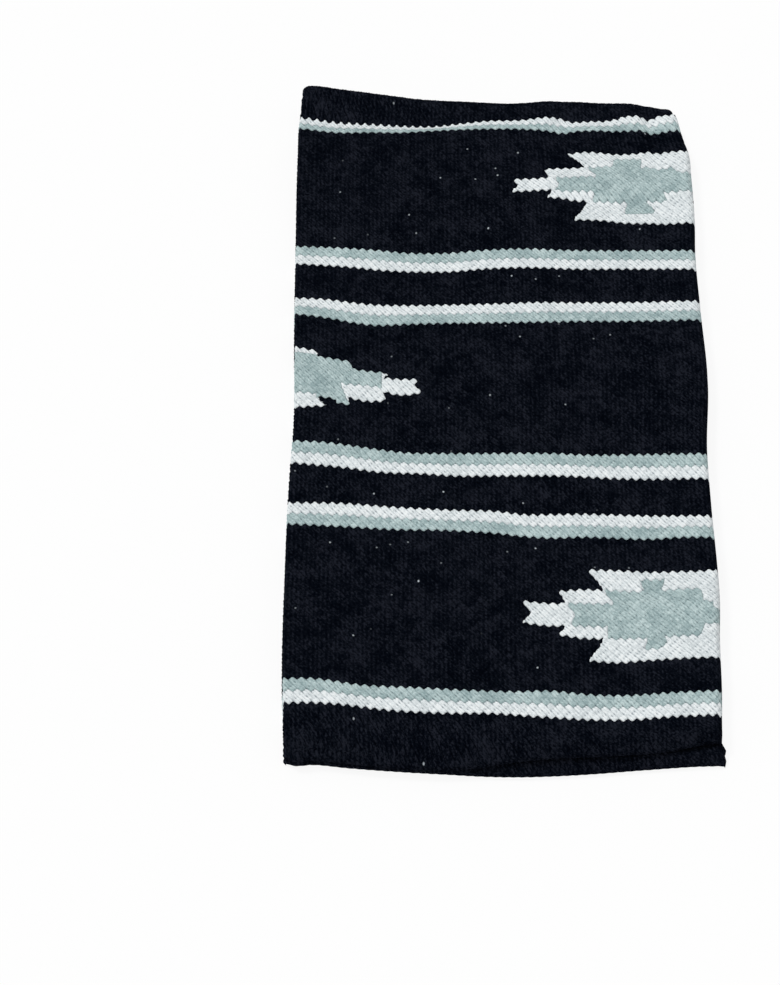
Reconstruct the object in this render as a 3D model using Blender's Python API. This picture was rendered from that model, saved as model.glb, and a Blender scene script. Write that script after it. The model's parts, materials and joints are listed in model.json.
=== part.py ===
"""A double-weave saddle blanket, folded in four, as its separate leaves and areas of yarn.

The blanket is folded once along its length, at +X, and once across, at +Y.
That stacks four leaves: two in the lower half and two in the upper half.
The upper half opens about the crest of the second fold.
The bare edges of the cloth are at -X and the woven ends are at -Y.
"""
import math

import bmesh
import bpy
from mathutils import Vector

# Cloth: one leaf of the double weave, the slit between two leaves, and the rounded edges
CLOTH_THICKNESS = 0.006
LEAF_GAP = 0.0003
SELVEDGE_ROUND = 0.0028
END_ROUND = 0.0019

# Folded size: the length is the sum of the bands below
FOLDED_WIDTH = 0.382
UPPER_STEP_BACK = 0.007
HINGE_CLEARANCE = 0.00015

# Bands of the pattern, from the woven ends at -Y to the crest at +Y
END_MARGIN = 0.038
STRIPE_1 = 0.026
FIELD_1 = 0.167
STRIPE_2 = 0.026
FIELD_2 = 0.036
STRIPE_3 = 0.027
FIELD_3 = 0.153
STRIPE_4 = 0.024
FIELD_4 = 0.042
STRIPE_5 = 0.024
FIELD_5 = 0.150
STRIPE_6 = 0.020
CREST_MARGIN = 0.029

# Stepped diamonds: 1 and 3 are cut by the fold at +X, 2 by the bare edges at -X.
# Every row of 1 and 3 runs past the fold, by the overrun at its narrowest.
RIGHT_DIAMOND_REACH = 0.115
RIGHT_DIAMOND_SETBACK = 0.056
RIGHT_DIAMOND_OVERRUN = 0.006
LEFT_DIAMOND_REACH = 0.122
DIAMOND_1_HEIGHT = 0.100
DIAMOND_2_HEIGHT = 0.068
DIAMOND_3_HEIGHT = 0.087
DIAMOND_1_SHIFT = -0.005
DIAMOND_2_SHIFT = 0.011
DIAMOND_3_SHIFT = 0.004

# Gap between two areas of yarn, and how far a cutting shape runs past the cloth
YARN_GAP = 0.0003
OVERRUN = 0.02

# Rows of the diamonds, far to near: share of the height, then shares of the reach down the row
RIGHT_ROW_SHARES = (
    (0.20, (0.52, 0.40)),
    (0.15, (0.74, 0.69)),
    (0.23, (1.00, 0.94, 1.00)),
    (0.15, (0.69, 0.74)),
    (0.27, (0.40, 0.52)),
)
RIGHT_CORE_START_SHARE = 0.10
RIGHT_CORE_ROW_SHARES = (
    (0.10, (0.09, 0.09)),
    (0.15, (0.36, 0.32)),
    (0.23, (0.65, 0.62, 0.65)),
    (0.15, (0.32, 0.36)),
    (0.10, (0.11, 0.09)),
)
LEFT_ROW_SHARES = (
    (0.15, (0.22, 0.20)),
    (0.15, (0.46, 0.42)),
    (0.15, (0.74, 0.70)),
    (0.20, (1.00, 0.94, 1.00)),
    (0.12, (0.70, 0.75)),
    (0.12, (0.42, 0.50)),
    (0.11, (0.19, 0.28)),
)
LEFT_CORE_START_SHARE = 0.0
LEFT_CORE_ROW_SHARES = LEFT_ROW_SHARES[:3] + (
    (0.20, (0.70, 0.67)),
    (0.12, (0.41, 0.37)),
    (0.12, (0.22, 0.12)),
)

# Facets of the round shapes
FOLD_SEGMENTS = 6
CREST_SEGMENTS = 8
SELVEDGE_SEGMENTS = 6
END_SEGMENTS = 3
SMOOTH_ANGLE = math.radians(35)

# Yarn colours, in linear light
NAVY = (0.0045, 0.0062, 0.0098, 1.0)
WHITE = (0.73, 0.77, 0.77, 1.0)
GREY = (0.37, 0.46, 0.47, 1.0)
YARN_ROUGHNESS = 0.95

BANDS = (
    END_MARGIN, STRIPE_1, FIELD_1, STRIPE_2, FIELD_2, STRIPE_3, FIELD_3,
    STRIPE_4, FIELD_4, STRIPE_5, FIELD_5, STRIPE_6, CREST_MARGIN,
)
FOLDED_LENGTH = sum(BANDS)
NEAR_END = -FOLDED_LENGTH / 2
CREST = FOLDED_LENGTH / 2
LEFT_EDGE = -FOLDED_WIDTH / 2
RIGHT_FOLD = FOLDED_WIDTH / 2
HALF_HEIGHT = 2 * CLOTH_THICKNESS
FOLD_PLANE = HALF_HEIGHT
CREST_CENTRE = CREST - HALF_HEIGHT + LEAF_GAP / 4


def clear_scene():
    for item in list(bpy.data.objects):
        bpy.data.objects.remove(item, do_unlink=True)


def make_material(name, colour):
    material = bpy.data.materials.new(name)
    material.use_nodes = True
    shader = material.node_tree.nodes["Principled BSDF"]
    shader.inputs["Base Color"].default_value = colour
    shader.inputs["Roughness"].default_value = YARN_ROUGHNESS
    shader.inputs["Metallic"].default_value = 0.0
    material.diffuse_color = colour
    return material


def add_object(name, mesh, material):
    item = bpy.data.objects.new(name, mesh)
    bpy.context.collection.objects.link(item)
    if material:
        mesh.materials.append(material)
    return item


def finish_mesh(name, shape):
    bmesh.ops.recalc_face_normals(shape, faces=shape.faces)
    mesh = bpy.data.meshes.new(name)
    shape.to_mesh(mesh)
    shape.free()
    mesh.shade_smooth()
    mesh.set_sharp_from_angle(angle=SMOOTH_ANGLE)
    return mesh


def loft(name, rings):
    """A closed solid through rings that all have the same number of points."""
    shape = bmesh.new()
    loops = [[shape.verts.new(point) for point in ring] for ring in rings]
    for first, second in zip(loops, loops[1:]):
        for index in range(len(first)):
            shape.faces.new((first[index - 1], first[index], second[index], second[index - 1]))
    shape.faces.new(loops[0])
    shape.faces.new(loops[-1])
    return finish_mesh(name, shape)


def offset_outline(points, distance):
    """The same outline, counterclockwise, grown outwards by a distance."""
    grown = []
    for before, here, after in zip(points[-1:] + points[:-1], points, points[1:] + points[:1]):
        arriving = (here - before).normalized()
        leaving = (after - here).normalized()
        first = Vector((arriving.y, -arriving.x))
        second = Vector((leaving.y, -leaving.x))
        grown.append(here + (first + second) * distance / (1 + first.dot(second)))
    return grown


def arc(centre, half_width, half_height, start, end, segments):
    """Points of an elliptical arc, from one angle to another, both ends included."""
    points = []
    for step in range(segments + 1):
        angle = start + (end - start) * step / segments
        points.append(centre + Vector((half_width * math.cos(angle), half_height * math.sin(angle))))
    return points


def leaf_section(low, high, is_outer):
    """A leaf's cross-section, X against height over the fold plane, counterclockwise."""
    thickness = high - low
    middle = Vector((LEFT_EDGE + SELVEDGE_ROUND, (low + high) / 2))
    selvedge = arc(middle, SELVEDGE_ROUND, thickness / 2, math.pi / 2, 3 * math.pi / 2, SELVEDGE_SEGMENTS)
    fold_x = RIGHT_FOLD - CLOTH_THICKNESS
    if is_outer:
        fold = arc(Vector((fold_x, low)), CLOTH_THICKNESS, thickness, 0, math.pi / 2, FOLD_SEGMENTS)
    else:
        fold = arc(Vector((fold_x, high)), CLOTH_THICKNESS, thickness, -math.pi / 2, 0, FOLD_SEGMENTS)
    return selvedge + fold


def leaf_rings(section, near, side):
    """The rings of a leaf: its soft woven end, its flat run and its quarter of the crest."""
    rings = []
    for step in range(END_SEGMENTS + 1):
        angle = math.pi / 2 * step / END_SEGMENTS
        outline = offset_outline(section, -END_ROUND * (1 - math.sin(angle)))
        y = near + END_ROUND * (1 - math.cos(angle))
        rings.append([Vector((x, y, FOLD_PLANE + side * height)) for x, height in outline])
    core = LEAF_GAP / 4
    for step in range(CREST_SEGMENTS + 1):
        angle = math.pi / 2 * step / CREST_SEGMENTS
        ring = []
        for x, height in section:
            radius = height - core
            y = CREST_CENTRE + radius * math.sin(angle)
            ring.append(Vector((x, y, FOLD_PLANE + side * (core + radius * math.cos(angle)))))
        rings.append(ring)
    return rings


def outer_leaf_mesh(name, near, side):
    section = leaf_section(CLOTH_THICKNESS + LEAF_GAP / 2, HALF_HEIGHT, True)
    return loft(name, leaf_rings(section, near, side))


def inner_leaf_mesh(name, near, side):
    section = leaf_section(LEAF_GAP / 2, CLOTH_THICKNESS - LEAF_GAP / 2, False)
    return loft(name, leaf_rings(section, near, side))


def prism_mesh(name, outline, side):
    """An outline raised through one half of the stack, past its faces on both sides."""
    ends = (FOLD_PLANE - side * OVERRUN, FOLD_PLANE + side * (HALF_HEIGHT + OVERRUN))
    return loft(name, [[Vector((x, y, z)) for x, y in outline] for z in ends])


def band_outline(start, end):
    """A band right across the cloth and past both of its sides."""
    left = LEFT_EDGE - OVERRUN
    right = RIGHT_FOLD + OVERRUN
    return [Vector(corner) for corner in ((left, start), (right, start), (right, end), (left, end))]


def stepped_outline(centre, height, reaches, start_share, row_shares):
    """A stepped diamond with slanted row ends. It reaches so far to the left and to the right."""
    side = []
    depth = start_share
    for row_share, reach_shares in row_shares:
        for index, reach_share in enumerate(reach_shares):
            down = depth + row_share * index / (len(reach_shares) - 1)
            side.append((reach_share, centre.y + height * (1 / 2 - down)))
        depth += row_share
    left = [Vector((centre.x - reaches[0] * share, y)) for share, y in side]
    right = [Vector((centre.x + reaches[1] * share, y)) for share, y in reversed(side)]
    return left + right


def make_guide(name, mesh):
    """A hidden shape that only cuts others."""
    guide = add_object(name, mesh, None)
    guide.hide_render = True
    guide.display_type = "WIRE"
    return guide


def cut(item, operation, guide):
    modifier = item.modifiers.new(guide.name, "BOOLEAN")
    modifier.operation = operation
    modifier.object = guide


def make_area(name, outline, side, leaf, material):
    """One area of yarn: its outline, kept inside the leaf that it is woven into."""
    item = add_object(name, prism_mesh(name, offset_outline(outline, -YARN_GAP / 2), side), material)
    cut(item, "INTERSECT", leaf)
    return item


def make_cutter(name, outline, side):
    return make_guide(name, prism_mesh(name, offset_outline(outline, YARN_GAP / 2), side))


def band_limits():
    """Where each band starts and ends along Y, near to far."""
    limits = []
    start = NEAR_END
    for size in BANDS:
        limits.append((start, start + size))
        start += size
    return limits


def diamond_plans():
    """Each diamond: the number of its field, its outline and the outline of its core."""
    limits = band_limits()
    narrowest_share = min(share for _, shares in RIGHT_ROW_SHARES for share in shares)
    fold_reach = (RIGHT_DIAMOND_SETBACK + RIGHT_DIAMOND_OVERRUN) / narrowest_share
    right = (RIGHT_FOLD - RIGHT_DIAMOND_SETBACK, RIGHT_DIAMOND_REACH, fold_reach,
             RIGHT_ROW_SHARES, RIGHT_CORE_START_SHARE, RIGHT_CORE_ROW_SHARES)
    left = (LEFT_EDGE, LEFT_DIAMOND_REACH, LEFT_DIAMOND_REACH,
            LEFT_ROW_SHARES, LEFT_CORE_START_SHARE, LEFT_CORE_ROW_SHARES)
    plans = []
    for field, height, shift, design in (
        (2, DIAMOND_1_HEIGHT, DIAMOND_1_SHIFT, right),
        (4, DIAMOND_2_HEIGHT, DIAMOND_2_SHIFT, left),
        (6, DIAMOND_3_HEIGHT, DIAMOND_3_SHIFT, right),
    ):
        x, reach, far_reach, rows, core_start, core_rows = design
        low, high = limits[2 * (field - 1)]
        centre = Vector((x, (low + high) / 2 + shift))
        outline = stepped_outline(centre, height, (reach, far_reach), 0, rows)
        core = stepped_outline(centre, height, (reach, reach), core_start, core_rows)
        plans.append((field, outline, core))
    return plans


def make_fields(face, side, leaf, navy):
    """The navy fields, numbered from the woven ends. The first and last run past the cloth."""
    limits = band_limits()[::2]
    fields = {}
    for number, (start, end) in enumerate(limits, 1):
        if number == 1:
            start -= OVERRUN
        if number == len(limits):
            end += OVERRUN
        name = f"{face}_navy_field_{number}"
        fields[number] = make_area(name, band_outline(start, end), side, leaf, navy)
    return fields


def make_stripes(face, side, leaf, white, grey):
    """Each stripe is a white and a grey line of equal width, in alternating order."""
    pieces = []
    for number, (start, end) in enumerate(band_limits()[1::2], 1):
        middle = (start + end) / 2
        white_is_near = number % 2 == 1
        near_colour, far_colour = (white, grey) if white_is_near else (grey, white)
        near_word, far_word = ("white", "grey") if white_is_near else ("grey", "white")
        for word, colour, low, high in (
            (near_word, near_colour, start, middle),
            (far_word, far_colour, middle, end),
        ):
            name = f"{face}_{word}_stripe_{number}"
            pieces.append(make_area(name, band_outline(low, high), side, leaf, colour))
    return pieces


def make_diamonds(face, side, leaf, fields, white, grey):
    """Each diamond is a white border round a grey core, let into its navy field."""
    pieces = []
    for number, (field, outline, core) in enumerate(diamond_plans(), 1):
        name = f"{face}_diamond_{number}"
        outline_cutter = make_cutter(f"{name}_outline_cutter", outline, side)
        core_cutter = make_cutter(f"{name}_core_cutter", core, side)
        cut(fields[field], "DIFFERENCE", outline_cutter)
        border = make_area(f"{name}_border", outline, side, leaf, white)
        cut(border, "DIFFERENCE", core_cutter)
        pieces.append(border)
        pieces.append(make_area(f"{name}_core", core, side, leaf, grey))
    return pieces


def make_half(half, face, side, near, materials):
    """Two leaves: a plain inner one and an outer one that is made of its areas of yarn."""
    navy, white, grey = materials
    inner = f"{half}_inner_leaf"
    guide = make_guide(f"{half}_outer_guide", outer_leaf_mesh(f"{half}_outer_guide", near, side))
    fields = make_fields(face, side, guide, navy)
    pieces = list(fields.values())
    pieces += make_stripes(face, side, guide, white, grey)
    pieces += make_diamonds(face, side, guide, fields, white, grey)
    pieces.append(add_object(inner, inner_leaf_mesh(inner, near, side), navy))
    return pieces


def hang_on_hinge(pieces):
    """The upper half turns about an empty on the line where the two halves meet at the crest."""
    hinge = bpy.data.objects.new("unfold_axis", None)
    bpy.context.collection.objects.link(hinge)
    hinge.location = (0, CREST + HINGE_CLEARANCE, FOLD_PLANE)
    for piece in pieces:
        piece.parent = hinge
        piece.location = -hinge.location


def build():
    clear_scene()
    materials = (
        make_material("navy_yarn", NAVY),
        make_material("white_yarn", WHITE),
        make_material("grey_yarn", GREY),
    )
    make_half("lower", "under", -1, NEAR_END, materials)
    upper = make_half("upper", "top", 1, NEAR_END + UPPER_STEP_BACK, materials)
    hang_on_hinge(upper)


build()
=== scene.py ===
"""The looks of a double-weave saddle blanket, folded in four, built round its CAD leaves.

Each leaf is woven from slanted floats of yarn on a brick lattice. The mesh follows that lattice, so every
colour area of the CAD gets its own closed piece, whose edges run along the floats.
Lengths are in metres. The upper half opens about the crest at +Y.
Scratch scripts took the diamonds and shifts from the photograph, through the camera below. All were
rounded and corrected.
"""
import json
import math

import bpy
import numpy as np
from mathutils import Matrix, Vector, geometry

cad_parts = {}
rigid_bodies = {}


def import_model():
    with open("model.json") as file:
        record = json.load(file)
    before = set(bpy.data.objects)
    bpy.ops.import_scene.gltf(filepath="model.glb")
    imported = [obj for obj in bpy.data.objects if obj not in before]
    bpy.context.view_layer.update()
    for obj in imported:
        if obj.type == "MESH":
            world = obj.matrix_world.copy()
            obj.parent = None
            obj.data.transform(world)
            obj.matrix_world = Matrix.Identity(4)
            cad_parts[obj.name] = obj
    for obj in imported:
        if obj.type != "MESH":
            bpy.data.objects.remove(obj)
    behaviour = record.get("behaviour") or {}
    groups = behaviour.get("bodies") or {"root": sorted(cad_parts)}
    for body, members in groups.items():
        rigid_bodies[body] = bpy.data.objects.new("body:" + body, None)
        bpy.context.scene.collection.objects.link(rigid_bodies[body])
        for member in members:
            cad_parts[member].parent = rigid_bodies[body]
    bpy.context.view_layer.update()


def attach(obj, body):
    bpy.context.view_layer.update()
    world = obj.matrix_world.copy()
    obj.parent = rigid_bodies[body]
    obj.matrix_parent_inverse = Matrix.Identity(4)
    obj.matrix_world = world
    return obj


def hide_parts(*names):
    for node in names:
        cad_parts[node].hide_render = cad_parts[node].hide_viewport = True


# Sizes of the CAD leaves
CLOTH_THICKNESS = 0.006
LEAF_GAP = 0.0003
HALF_HEIGHT = 2 * CLOTH_THICKNESS
FOLD_PLANE = HALF_HEIGHT
LEFT_EDGE = -0.191
RIGHT_FOLD = 0.191
NEAR_END = -0.381
CREST = 0.381
UPPER_STEP_BACK = 0.007
CREST_CENTRE = CREST - HALF_HEIGHT + LEAF_GAP / 4
SELVEDGE_ROUND = 0.0028
END_ROUND = 0.0019
FOLD_ROUND = 0.006
LEAF_LOW = CLOTH_THICKNESS + LEAF_GAP / 2
LEAF_HALF_THICKNESS = (HALF_HEIGHT - LEAF_LOW) / 2
EDGE_POINTS = 33
FOLD_POINTS = 25

# Where the stripes start, change colour and end, near to far, and which colour comes first
BAND_LIMITS = (
    -0.343, -0.330, -0.317, -0.150, -0.137, -0.124, -0.088, -0.0745, -0.061,
    0.092, 0.104, 0.116, 0.158, 0.170, 0.182, 0.332, 0.342, 0.352,
)
WHITE_FIRST = (True, False, True, False, True, False)

# Diamonds on the flat cloth, in millimetres. Those at the fold: the side of the border towards -X, far to
# near, where its far and near edges end, and the core. The one at the bare edge: its border and its core.
RIGHT_CENTRE = 135
FOLD_STRETCH = 155 / 115
DIAMOND_1_SIDE = (
    (77, -185.5), (87, -199.6), (92, -207), (52, -207), (58, -221.5), (19.5, -221.5), (28.3, -234),
    (19.5, -245.5), (58, -245.5), (51.7, -257.5), (91, -257.5), (85.7, -268.5), (77.3, -282),
)
DIAMOND_1_ENDS = (-185.5, -282)
DIAMOND_1_CORE = (
    (122.7, -194.1), (145.4, -194.1), (141.4, -207), (177, -207), (178, -221.5), (187, -221.5), (187, -228),
    (210, -228), (210, -241.5), (180, -245.5), (175, -257.5), (144.3, -257.5), (147, -264), (141.3, -269.7),
    (126.5, -269.7), (129.5, -257.5), (95, -257.5), (94.8, -245.5), (61, -245.5), (67, -233.5),
    (59.3, -221.5), (100.2, -221.5), (92, -207), (127.4, -207),
)
DIAMOND_2_BORDER = (
    (-220, 50), (-170, 50), (-166.5, 46), (-168, 42.3), (-138, 42.3), (-137, 39), (-134.5, 33.2),
    (-106.6, 33.2), (-102, 30.8), (-106.2, 25.5), (-71.5, 25.5), (-78, 18.5), (-70.5, 8.5), (-107.7, 8.5),
    (-103, -3), (-140, -3), (-137, -8.6), (-134, -12.4), (-150, -12.4), (-150, -7.7), (-167, -7.7),
    (-165, -12.4), (-157, -19.5), (-220, -19.5),
)
DIAMOND_2_CORE = (
    (-220, 44.3), (-108.5, 44.3), (-107.7, 12.75), (-146, 12.75), (-141, -3), (-135, -14), (-150, -14),
    (-150, -7.7), (-169, -7.7), (-169, -3), (-220, -3),
)
DIAMOND_3_SIDE = (
    (72.5, 304.5), (82, 294.9), (90, 285.3), (49.2, 285.3), (54.7, 270.3), (18, 270.3), (24.5, 262),
    (17.5, 254.4), (57, 254.4), (51, 244.8), (91.7, 244.8), (85.6, 233.2), (76.5, 217),
)
DIAMOND_3_ENDS = (304.5, 217)
DIAMOND_3_CORE = (
    (118, 296.8), (144.5, 296.8), (144, 285.3), (174, 285.3), (179.4, 277.8), (210, 277.8), (210, 256),
    (163.4, 254.4), (167.6, 244.8), (146, 244.8), (154.7, 235), (153.6, 230), (124.8, 230), (129.2, 244.8),
    (94.8, 244.8), (99, 254.4), (59.3, 254.4), (64.6, 262.5), (59.6, 270.3), (100.7, 270.3), (92.3, 285.3),
    (116, 285.3),
)
# The rows where the diamonds step, near to far: (y, ((x, how far the photograph's row lies off it), ...))
DIAMOND_STEPS = (
    (-0.282, ((0.078, 0), (0.098, -0.0012), (0.122, 0.0004))),
    (-0.2575, ((0.052, 0.001), (0.068, -0.0012), (0.091, -0.0008), (0.13, 0))),
    (-0.2455, ((0.02, 0.001), (0.041, -0.0018), (0.058, -0.0008), (0.095, 0))),
    (-0.2215, ((0.02, 0.0007), (0.036, -0.0008), (0.058, -0.0005), (0.178, 0.0012))),
    (-0.207, ((0.052, -0.002), (0.071, 0), (0.092, 0), (0.127, -0.0008), (0.141, 0))),
    (-0.1855, ((0.078, 0), (0.106, 0.0002), (0.141, -0.0014), (0.176, -0.002), (0.193, 0.0005))),
    (-0.0195, ((-0.19, -0.002), (-0.183, -0.001), (-0.168, 0.0014), (-0.158, 0.0019), (-0.1, 0))),
    (-0.0124, ((-0.19, -0.0005), (-0.166, 0.0016), (-0.15, 0.0008), (-0.132, 0))),
    (-0.003, ((-0.14, 0), (-0.126, -0.0015), (-0.103, 0.0025), (-0.06, 0))),
    (0.0085, ((-0.146, 0), (-0.108, 0.0015), (-0.098, -0.0016), (-0.088, -0.0021), (-0.071, 0.002))),
    (0.0255, ((-0.106, 0.0012), (-0.091, 0), (-0.078, 0), (-0.072, -0.0008))),
    (0.0332, ()),
    (0.0423, ()),
    (0.05, ((-0.19, 0.0017), (-0.17, -0.001), (-0.12, 0))),
    (0.217, ((0.077, 0.0032), (0.102, 0.0019), (0.125, -0.0012), (0.149, -0.0019), (0.19, -0.0012))),
    (0.2448, (
        (0.051, 0.0017), (0.064, 0.0025), (0.078, -0.0013), (0.092, -0.0026), (0.145, -0.0028), (0.168, 0),
    )),
    (0.2544, ((0.019, -0.0021), (0.035, -0.0005), (0.057, 0.0025), (0.099, 0.0007), (0.163, 0.0016))),
    (0.2703, ((0.02, -0.0026), (0.041, -0.0004), (0.055, 0.0028), (0.101, 0.0036), (0.16, 0.002))),
    (0.2853, (
        (0.05, -0.0032), (0.065, 0.0006), (0.091, -0.0005), (0.116, 0.002), (0.144, 0), (0.174, 0.0014),
    )),
    (0.3045, ((0.073, 0), (0.095, 0), (0.11, -0.0018), (0.144, -0.0008), (0.156, 0.0017), (0.188, 0.002))),
)

# The weave: half pitches of the floats across a leaf, the length of a row of them, mesh steps to each, and
# how much of a float's slant the diamonds follow
HALF_PITCHES = 100
ROW_HEIGHT = 0.0041
FINE = 4
COARSE = 2
END_SLANT = 0.5
OUTER_SEED = 12
INNER_SEED = 17

# Relief of a float: its height on the top leaf and on the others, then its shape
FLOAT_HEIGHT = 0.001
UNDER_HEIGHT = 0.0008
LOWEST_TOP = 0.8
STRAND_POWER = 2.2
STRAND_DEPTH = 0.45
EDGE_POWER = 4
END_DEPTH = 0.62
END_POWER = 2.4
RANDOM_SIZE = 512

# The hidden back of a leaf: where it meets the section, in lengths of the bare edge's roll, how far it keeps
# from that edge and from the near lip, and how many floats lie between the points inside it
BACK_FROM = 2.4
BACK_INSET = 0.985
BACK_LIP = 0.002
BACK_FLOATS = 3
SAME_POINT = 1e-6

# Areas of yarn on a leaf, numbered fields first, then stripes, then diamonds
FIELD_COUNT = 7
STRIPE_COUNT = 6
FIRST_DIAMOND = FIELD_COUNT + 2 * STRIPE_COUNT
FIELDS_WITH_DIAMOND = (2, 4, 6)

# Photograph and camera
PHOTO_WIDTH = 780
PHOTO_HEIGHT = 985
SENSOR = 36.0
FOCAL_PIXELS = 3322.2
CAMERA_PLACE = (-0.15092, -1.85484, 2.45664)
CAMERA_RIGHT = (0.99961885, 0.00760245, 0.02653973)
CAMERA_UP = (-0.02166699, 0.8117918, 0.58354487)

NAVY, WHITE, GREY = "navy", "white", "grey"

# Lie of the upper half: its far corner at -X is puffed and filled out, the one at +X sags. It has low waves
# (factors of x and y, phase) and puckers by the far stripe (x, width, height). Spans run from none to full.
CORNER_LIFT = 0.0088
PUFF_X = (0.04, 0.19)
PUFF_Y = (0.23, 0.375)
SQUARE_X = (0.06, 0.19)
SQUARE_Y = (CREST_CENTRE - 0.014, CREST_CENTRE + 0.002)
SQUARE_H = (0.004, 0.011)
SQUARE_SHARE = 0.8
SAG_DEPTH = 0.0025
SAG_X = (0.13, 0.191)
SAG_Y = (0.335, 0.381)
WAVE_HEIGHT = 0.0007
WAVES = ((31, 11, 0.5), (-6, 17, 1.0))
WAVE_FADE = 0.1
WAVE_FADE_NEAR = 0.04
LIFT_MARGIN = 0.001
PUCKER_Y = 0.352
PUCKER_LENGTH = 0.022
PUCKERS = ((0.052, 0.010, 0.0022), (0.072, 0.008, -0.0030), (0.145, 0.009, 0.0018), (0.161, 0.007, -0.0032))
LIFT_TO_SHIFT = 0.72
SHIFT_FADE = 0.02

# Near end: the top leaf of each half hangs over the other one's end, which lies further in
DRAPE_LENGTH = 0.012
DRAPE_DEPTH = 0.0058
DEEP_DRAPE = 0.01
DEEP_X = (-0.034, 0.05)
TUCK = 0.009
TUCK_Y = (0.3, -NEAR_END)
NEAR_Y = (0.345, -NEAR_END)

# Far end: where the crest's shift sets in, and how far its corners at -X and +X are pulled in
FAR_Y = (0.34, CREST)
FAR_H = (0.0, 0.006)
CORNER_Y = (0.345, CREST)
LEFT_X = (0.1855, 0.1915)
LEFT_PULL = 0.0035
RIGHT_X = (0.164, 0.181)
RIGHT_PULL = 0.0022

# By the hinge, which lies 0.15 mm past the crest, the crest reaches out to it and has no relief
SEAM_REACH = 0.00014
SEAM_Y = (CREST - 0.001, CREST - 0.0001)
SEAM_H = (-0.002, -0.0003)
SEAM_MARGIN = 0.004


def curve_through(points):
    """A smooth function of one number through the given (place, value) points."""
    places = np.array([place for place, _ in points], float)
    values = np.array([value for _, value in points], float)
    slopes = np.gradient(values, places)

    def smooth(x):
        x = np.clip(x, places[0], places[-1])
        index = np.clip(np.searchsorted(places, x) - 1, 0, len(places) - 2)
        width = places[index + 1] - places[index]
        t = (x - places[index]) / width
        first = (1 + 2 * t) * (1 - t) ** 2 * values[index] + t * (1 - t) ** 2 * slopes[index] * width
        last = t * t * (3 - 2 * t) * values[index + 1] + t * t * (t - 1) * slopes[index + 1] * width
        return first + last

    return smooth


def step(x, start, end):
    """0 before start, 1 after end, smooth in between."""
    t = np.clip((x - start) / (end - start), 0, 1)
    return t * t * (3 - 2 * t)


# How the photograph's blanket departs from its straight plan.
# Sides: (y, shift in x). Near ends of the two halves and the crest: (x, shift in y).
LEFT_SIDE = curve_through((
    (-0.385, 0.0022), (-0.29, -0.0018), (-0.193, -0.0018), (-0.117, -0.001), (-0.042, 0.0018),
    (0.026, 0.0016), (0.06, 0.0004), (0.185, -0.0012), (0.297, -0.002), (0.349, -0.001), (0.368, 0.0011),
    (0.381, 0.003),
))
RIGHT_SIDE = curve_through((
    (-0.381, -0.002), (-0.352, -0.0018), (-0.302, 0.0001), (-0.25, 0.001), (-0.211, 0.003),
    (-0.175, 0.0024), (-0.114, 0.0004), (-0.044, -0.0004), (0.029, 0.004), (0.108, 0.0012),
    (0.194, -0.0004), (0.225, 0.0008), (0.275, 0), (0.303, -0.001), (0.32, -0.0048), (0.345, -0.0098),
    (0.36, -0.0126), (0.381, -0.0144),
))
# How much further the lower half's near corner at +X sticks out: (y, shift in x)
LOWER_CORNER = curve_through(((-0.381, 0.003), (-0.376, 0.0042), (-0.369, 0.0022), (-0.358, 0)))
NEAR_SHIFT = curve_through((
    (-0.191, 0.003), (-0.183, 0), (-0.165, 0.001), (-0.136, -0.0015), (-0.081, -0.0048), (-0.051, -0.006),
    (-0.014, -0.0074), (0.018, -0.007), (0.067, -0.0036), (0.12, 0.0022), (0.17, 0.0072), (0.191, 0.0083),
))
UPPER_NEAR_SHIFT = curve_through((
    (-0.191, -0.005), (-0.183, -0.0113), (-0.165, -0.01), (-0.136, -0.0128), (-0.081, -0.0163),
    (-0.05, -0.0165), (-0.014, -0.0125), (0.01, -0.008), (0.034, -0.0044), (0.066, -0.001), (0.106, 0.0024),
    (0.133, 0.0052), (0.146, 0.0076), (0.173, 0.0141), (0.191, 0.0178),
))
FAR_SHIFT = curve_through((
    (-0.191, 0.0005), (-0.182, 0.0022), (-0.155, 0.0014), (-0.118, 0.0005), (-0.1, 0), (-0.08, -0.0009),
    (-0.042, -0.0011), (-0.007, -0.0019), (0.012, -0.0026), (0.032, -0.001), (0.055, 0.0014),
    (0.072, 0.0018), (0.11, 0.0006), (0.15, 0.0004), (0.165, -0.0018), (0.177, -0.0038), (0.1835, -0.0048),
    (0.191, -0.0065),
))
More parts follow.
